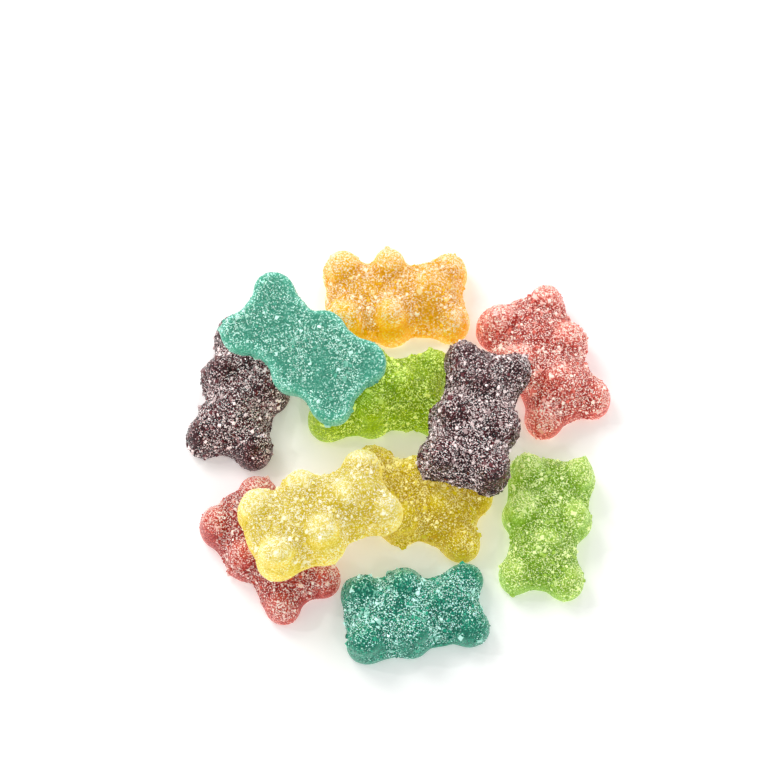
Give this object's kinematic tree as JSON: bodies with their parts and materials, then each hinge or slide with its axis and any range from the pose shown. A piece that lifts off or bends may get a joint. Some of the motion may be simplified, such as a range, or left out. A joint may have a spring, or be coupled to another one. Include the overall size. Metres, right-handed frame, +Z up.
{
  "type": "gummy bears",
  "caption": "Small loose heap of sugar-coated gummy bears in mixed fruit colours, some lying flat and some lying across the others, on a flat surface.",
  "frame": {"origin": "on the surface that the heap lies on, under the middle of the heap's bounding box", "axes": "+Z up; the picture looks down along +Y, so -Y is the near side and +X is to its right"},
  "size_m": [0.0614, 0.0612, 0.0176],
  "materials": {
    "gummy_orange": "translucent orange fruit gel under a close coat of fine sugar crystals",
    "gummy_teal": "translucent teal fruit gel under a close coat of fine sugar crystals",
    "gummy_green": "translucent green fruit gel under a close coat of fine sugar crystals",
    "gummy_purple": "translucent purple fruit gel under a close coat of fine sugar crystals",
    "gummy_red": "translucent red fruit gel under a close coat of fine sugar crystals",
    "gummy_yellow": "translucent yellow fruit gel under a close coat of fine sugar crystals",
    "sugar": "clear to white sugar crystals that glitter"
  },
  "bodies": {
    "root": {"bear_orange": "gummy_orange", "bear_teal_front": "gummy_teal", "bear_green_right": "gummy_green", "bear_red_right": "gummy_red", "bear_purple_left": "gummy_purple", "bear_red_left": "gummy_red", "bear_green_middle": "gummy_green", "bear_yellow_right": "gummy_yellow", "bear_teal_back": "gummy_teal", "bear_purple_top": "gummy_purple", "bear_yellow_top": "gummy_yellow"}
  },
  "joints": []
}
